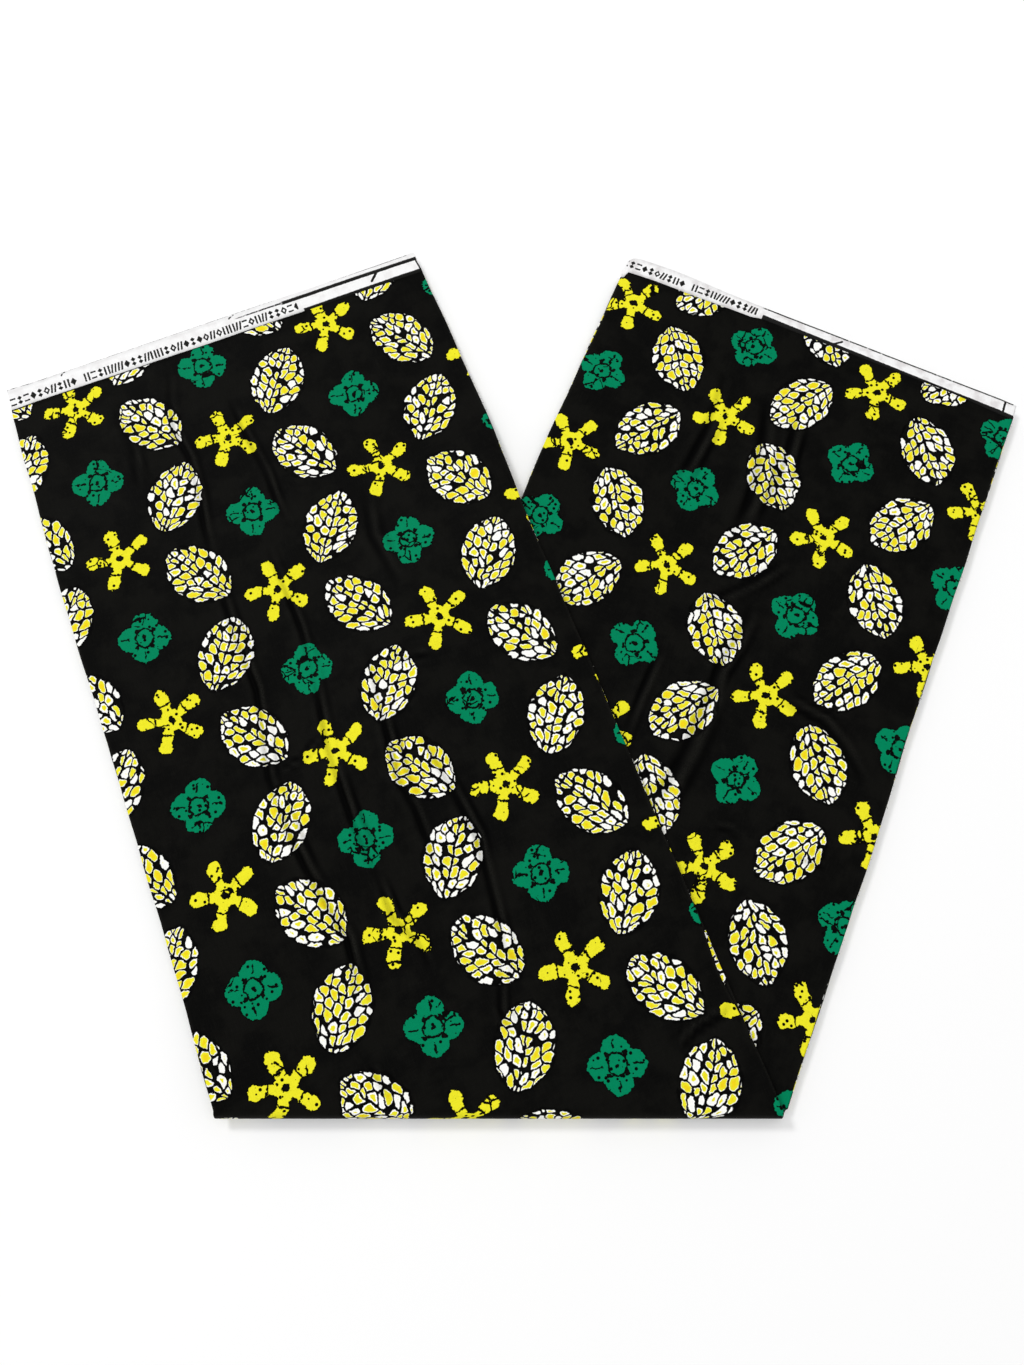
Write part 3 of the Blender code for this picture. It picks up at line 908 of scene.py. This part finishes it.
def white_selvedge(name, patch_colour, ground_line, rows, lines, ticks):
    """White woven edge: bare cotton, the end of the black ground, rows of plain marks, thin lines and ticks.
    A line along the outer edge is a painted shadow.

    patch_colour is the colour of its duller patches. ground_line holds (from t, the ground's end in s,
    slope). rows hold (start, stop, foot, slope, height) of marks. lines hold (start, stop, s, slope, half
    width at the start and the stop). ticks hold two points and a half width. All are in millimetres in the
    arm's own t and s.
    """
    material, net, shader = new_material(name)
    t, s, _ = net.parts(net.attribute("arm_place")[0])
    t, s = t * 1000.0, s * 1000.0
    plain = net.join(t, s)
    rough_t = t + net.stray(plain, 0.9, 0.9)
    rough_s = s + net.stray(net.join(s, t, 5.0), 0.9, 0.7)
    # printed ink, and a painted shadow line along the outer edge, all in the black of the ground
    ink_and_edge_shadow = 0.0
    for start, end, slope in ground_line:
        below = t * slope + end - rough_s
        ink_and_edge_shadow = net.high(ink_and_edge_shadow, net.step(below, 0.0, 0.25) * net.step(rough_t, start, 0.2))
    for row in rows:
        ink_and_edge_shadow = net.high(ink_and_edge_shadow, mark_row(net, rough_t, rough_s, *row))
    patchy = net.noise(plain, 0.25)
    for start, stop, middle, slope, first_width, last_width in lines:
        off = abs(rough_s - (t * slope + middle))
        width = lerp(first_width, last_width, (t - start) / (stop - start))
        span = net.step(t, start, 3.0) * (1.0 - net.step(t, stop, 0.5))
        drawn = (1.0 - net.step(off, width * 0.8, 0.25)) * span
        ink_and_edge_shadow = net.high(ink_and_edge_shadow, drawn * net.step(patchy + width * 0.3, 0.42, 0.15))
    for start, stop, half_width in ticks:
        ink_and_edge_shadow = net.high(ink_and_edge_shadow, tick(net, rough_t, rough_s, start, stop, half_width))
    threads = net.yarns(t, s, 3.0, 0.2)
    bare = net.mix(net.step(net.noise(plain, 0.12, 3.0), 0.42, 0.25), BARE_COTTON, patch_colour)
    bare = net.mix(net.step(threads, 0.85, 0.4) * 0.20, bare, BARE_THREAD)
    net.put(shader["Base Color"], net.mix(ink_and_edge_shadow, bare, GROUND_PALER))
    shader["Roughness"].default_value = 0.8
    shader["Specular IOR Level"].default_value = 0.2
    net.put(shader["Normal"], net.bump(threads, 0.00012, 0.5))
    return material


def left_selvedge():
    return white_selvedge(
        "left selvedge",
        patch_colour=(0.80, 0.79, 0.79, 1.0),
        ground_line=((-200.0, 565.6, -0.004), (66.5, 567.0, 0.008)),
        rows=((-158.0, 63.0, 567.7, -0.003, 7.2),),
        lines=(
            (16.0, 52.0, 577.7, 0.0, 0.30, 0.75),
            (51.0, 158.5, 577.5, 0.0, 1.65, 1.65),
            # a painted shadow along the outer edge of the lower plies
            (-157.0, 153.0, 583.3, 0.002, 0.20, 0.32),
        ),
        ticks=(
            ((126.9, 576.5), (121.3, 570.8), 0.9),
            ((-114.6, 579.4), (-112.4, 582.4), 0.45),
            ((12.6, 579.6), (16.2, 582.0), 0.45),
            ((157.6, 578.5), (158.8, 567.0), 0.5),
        ),
    )


def right_selvedge():
    return white_selvedge(
        "right selvedge",
        patch_colour=(0.69, 0.67, 0.67, 1.0),
        ground_line=((-43.4, 573.9, -0.040),),
        rows=((-151.5, -47.0, 572.0, -0.018, 6.3),),
        # a painted shadow along the top ply's outer edge
        lines=((-46.0, 147.0, 579.85, -0.025, 0.58, 0.50),),
        ticks=(((11.2, 571.5), (17.5, 576.7), 0.7), ((141.3, 577.0), (141.9, 566.0), 0.7)),
    )


# Stations along a stretch: many where it shows, fewer where it is hidden
FINE = np.linspace(0.0, 1.0, 165)
COARSE = np.linspace(0.0, 1.0, 44)
UNDER = np.linspace(0.0, 1.0, 24)
TURN_WAY = np.linspace(0.0, 1.0, 18)[1:-1]
END_WAY = np.linspace(0.0, 1.0, 5)


def make_strip(name, columns, left_way, right_way, material):
    """A sheet's whole way: down the left arm, round the turn and up the right arm."""
    left = arm_points(LEFT, columns, left_way[::-1], "print")
    turn = turn_points(columns, TURN_WAY)
    right = arm_points(RIGHT, columns, right_way, "print")
    right = right._replace(run=right.run - turn_arc(column_rows(columns)[2]))
    return make_sheet(name, columns, [left, turn, right], material)


def make_cloth():
    cotton, left_white, right_white = printed_cotton(), left_selvedge(), right_selvedge()
    outer, inner, middle = outer_columns(), inner_columns(), middle_columns(1, LAST - 1)
    sheets = [
        make_strip("outer_ply", outer, FINE, UNDER, cotton),
        make_strip("inner_ply", inner, UNDER, FINE, cotton),
        make_strip("middle_plies", middle, COARSE, COARSE, cotton),
    ]
    ends = (
        ("left_top_selvedge", LEFT, outer, left_white),
        ("left_lower_selvedges", LEFT, middle_columns(1, LAST), left_white),
        ("right_top_selvedge", RIGHT, inner, right_white),
        ("right_lower_selvedges", RIGHT, middle_columns(0, LAST - 1), right_white),
    )
    for name, arm, columns, material in ends:
        sheets.append(make_sheet(name, columns, [arm_points(arm, columns, END_WAY, "end")], material))
    return {sheet.name: sheet for sheet in sheets}


# Loose threads of a cut edge
THREAD_WHITE = (0.62, 0.60, 0.55, 1.0)
THREAD_SPACING = 0.0030
THREAD_THICKNESS = 0.00016
THREAD_LENGTH = 0.0011
THREAD_SHARE = 0.45
THREAD_ROOT = (-0.0006, 0.0, 0.0)


def cotton_thread():
    """Single yarns: black for the most part, some with the white of the bare cotton."""
    material, net, shader = new_material("cotton thread")
    place = net.outputs("ShaderNodeTexCoord", {})[3]
    bare = net.step(net.noise(place, 160.0, 1.0), 0.60, 0.08) * 0.75
    net.put(shader["Base Color"], net.mix(bare, GROUND_THREAD, THREAD_WHITE))
    shader["Roughness"].default_value = 0.85
    shader["Specular IOR Level"].default_value = 0.1
    net.put(shader["Normal"], net.bump(net.noise(place, 9000.0, 1.0), 0.00003, 0.5))
    return material


def thread_tree(material):
    """Geometry Nodes: short bent yarns along a cut edge, each at its own angle and length."""
    tree = bpy.data.node_groups.new("loose threads", "GeometryNodeTree")
    face = tree.interface
    face.new_socket("Edge", in_out="INPUT", socket_type="NodeSocketGeometry")
    for name in ("Spacing", "Thickness", "Length", "Outward"):
        face.new_socket(name, in_out="INPUT", socket_type="NodeSocketFloat")
    face.new_socket("Seed", in_out="INPUT", socket_type="NodeSocketInt")
    face.new_socket("Threads", in_out="OUTPUT", socket_type="NodeSocketGeometry")

    net = Net(tree)
    edge, spacing, thickness, length, outward, seed = net.outputs("NodeGroupInput", {})[:6]

    def chance(low, high, seed_step):
        """A random number from low to high for each thread."""
        return net.outputs("FunctionNodeRandomValue", {2: low, 3: high, "Seed": seed + seed_step})[1]

    path = net.node("GeometryNodeMeshToCurve", {"Mesh": edge})
    places = net.node("GeometryNodeCurveToPoints", {"Curve": path, "Length": spacing}, mode="LENGTH")
    bend = net.join(length * 0.55, length * 0.22)
    tip = net.join(length, length * -0.10, length * -0.12)
    yarn = net.node("GeometryNodeCurveQuadraticBezier",
                    {"Resolution": 6, "Start": THREAD_ROOT, "Middle": bend, "End": tip})
    ring = net.node("GeometryNodeCurvePrimitiveCircle", {"Resolution": 5, "Radius": thickness * 0.5})
    body = net.node("GeometryNodeCurveToMesh", {"Curve": yarn, "Profile Curve": ring, "Fill Caps": True})
    turn = net.join(0.0, chance(-0.15, 0.30, 1), outward + chance(-1.0, 1.0, 2))
    picked = net.outputs("FunctionNodeRandomValue", {"Probability": THREAD_SHARE, "Seed": seed + 3},
                         data_type="BOOLEAN")[3]
    copies = net.node("GeometryNodeInstanceOnPoints", {
        "Points": places, "Selection": picked, "Instance": body, "Rotation": turn,
        "Scale": chance(0.35, 1.3, 4),
    })
    real = net.node("GeometryNodeRealizeInstances", {"Geometry": copies})
    finished = net.node("GeometryNodeSetMaterial", {"Geometry": real, "Material": material})
    net.put(net.nodes.new("NodeGroupOutput").inputs["Threads"], finished)
    return tree


def cut_edge_threads(name, arm, ply, tree, seed):
    """Loose yarns along the cut edge of an arm's top ply, its right edge."""
    edge = arm_points(arm, [(1.0, 0.0, ply)], np.linspace(0.04, 0.995, 60), "print").points[:, 0]
    points = (edge + np.array(OFFSET)).tolist()
    mesh = bpy.data.meshes.new(name)
    mesh.from_pydata(points, [(i, i + 1) for i in range(len(points) - 1)], [])
    threads = bpy.data.objects.new(name, mesh)
    bpy.context.scene.collection.objects.link(threads)
    grown = threads.modifiers.new("threads", "NODES")
    grown.node_group = tree
    values = {
        "Spacing": THREAD_SPACING, "Thickness": THREAD_THICKNESS, "Length": THREAD_LENGTH,
        "Outward": -arm.side * arm.angle, "Seed": seed,
    }
    for item in tree.interface.items_tree:
        if item.in_out == "INPUT" and item.name in values:
            grown[item.identifier] = values[item.name]
    bpy.context.view_layer.update()
    evaluated = threads.evaluated_get(bpy.context.evaluated_depsgraph_get())
    ready = bpy.data.meshes.new_from_object(evaluated)
    threads.modifiers.remove(grown)
    threads.data = ready
    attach(threads, "root")


# Flat sizes of the sheets: the way round the turn, what is tucked in past a fold, and the right arm's white
# edges, whose lower plies are drawn back and rounded at the corners
TURN_LENGTH = 0.026
TUCKED_WIDTH = 0.02
RIGHT_TOP_WIDTH = 0.0103
RIGHT_LOWER_WIDTH = 0.0100


def declare(sheets):
    """Hangs each sheet on the root body and hides the imported parts it stands for. The plan also lists each
    sheet's material and flat size, which are not used here.
    """
    width = LEFT_PRINT_END + RIGHT_PRINT_END + TURN_LENGTH
    plan = (
        ("outer_ply", ("left_arm_top_ply", "turn_outer_ply"), "printed_cotton", PANEL + TUCKED_WIDTH, width),
        ("inner_ply", ("right_arm_top_ply",), "printed_cotton", PANEL + TUCKED_WIDTH, width),
        ("middle_plies",
         ("left_arm_second_ply", "left_arm_inner_plies", "right_arm_inner_plies", "turn_inner_plies"),
         "printed_cotton_edges", 16 * PANEL, width),
        ("left_top_selvedge", ("left_arm_top_selvedge",), "white_selvedge", PANEL, LEFT_TOP_REACH),
        ("left_lower_selvedges", ("left_arm_lower_selvedges",), "white_selvedge",
         17 * PANEL, LEFT_LOWER_REACH),
        ("right_top_selvedge", ("right_arm_top_selvedge",), "white_selvedge", PANEL, RIGHT_TOP_WIDTH),
        ("right_lower_selvedges", ("right_arm_lower_selvedges",), "white_selvedge",
         17 * PANEL, RIGHT_LOWER_WIDTH),
    )
    for name, nodes, slot, flat_width, flat_length in plan:
        sheet = sheets[name]
        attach(sheet, "root")
        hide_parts(*nodes)


# The studio: a wide pale floor, an even dome with a soft cap of light overhead, and a key light from the
# upper left
FLOOR_HALF = 40.0
FLOOR_DROP = -0.0004
FLOOR_COLOUR = (0.93, 0.93, 0.93, 1.0)
DOME = 0.48
CAP = 1.12
CAP_START = 0.75
CAP_BLEND = 0.14
KEY_PLACE = (-2.20, 2.30, 3.60)
KEY_SIZE = 0.9
KEY_POWER = 78.0


def make_floor():
    mesh = bpy.data.meshes.new("floor")
    corners = ((-1, -1), (1, -1), (1, 1), (-1, 1))
    mesh.from_pydata([(x * FLOOR_HALF, y * FLOOR_HALF, FLOOR_DROP) for x, y in corners], [], [(0, 1, 2, 3)])
    floor = bpy.data.objects.new("floor", mesh)
    bpy.context.scene.collection.objects.link(floor)
    material, _, shader = new_material("pale floor")
    shader["Base Color"].default_value = FLOOR_COLOUR
    shader["Roughness"].default_value = 0.9
    shader["Specular IOR Level"].default_value = 0.1
    mesh.materials.append(material)


def make_lights():
    world = bpy.data.worlds.new("studio")
    world.use_nodes = True
    net = Net(world.node_tree)
    background = net.nodes["Background"].inputs
    upwards = net.parts(net.node("ShaderNodeTexCoord", {}))[2]
    net.put(background["Strength"], net.step(upwards, CAP_START, CAP_BLEND) * CAP + DOME)
    background["Color"].default_value = (1.0, 1.0, 1.0, 1.0)
    bpy.context.scene.world = world
    data = bpy.data.lights.new("key softbox", "AREA")
    data.shape = "SQUARE"
    data.size = KEY_SIZE
    data.energy = KEY_POWER
    key = bpy.data.objects.new("key softbox", data)
    key.location = Vector(KEY_PLACE)
    key.rotation_euler = (-Vector(KEY_PLACE)).to_track_quat("-Z", "Y").to_euler()
    bpy.context.scene.collection.objects.link(key)


CAMERA_PLACE = (0.0029, 0.1062, 0.6473)
CAMERA_TILT = math.radians(13.99)
FOCAL_PIXELS = 985.0
PHOTO_HEIGHT = 1365.0
SENSOR = 36.0


def make_camera():
    data = bpy.data.cameras.new("camera")
    data.sensor_width = SENSOR
    data.lens = FOCAL_PIXELS / PHOTO_HEIGHT * SENSOR
    data.clip_start = 0.01
    camera = bpy.data.objects.new("camera", data)
    camera.location = Vector(CAMERA_PLACE) + OFFSET
    camera.rotation_euler = (CAMERA_TILT, 0.0, 0.0)
    bpy.context.scene.collection.objects.link(camera)
    bpy.context.scene.camera = camera


def main():
    bpy.context.scene.view_settings.view_transform = "Standard"
    make_camera()
    make_lights()
    make_floor()
    declare(make_cloth())
    tree = thread_tree(cotton_thread())
    cut_edge_threads("left_cut_edge_threads", LEFT, 0, tree, 5)
    cut_edge_threads("right_cut_edge_threads", RIGHT, LAST, tree, 8)


main()
bpy.context.view_layer.update()
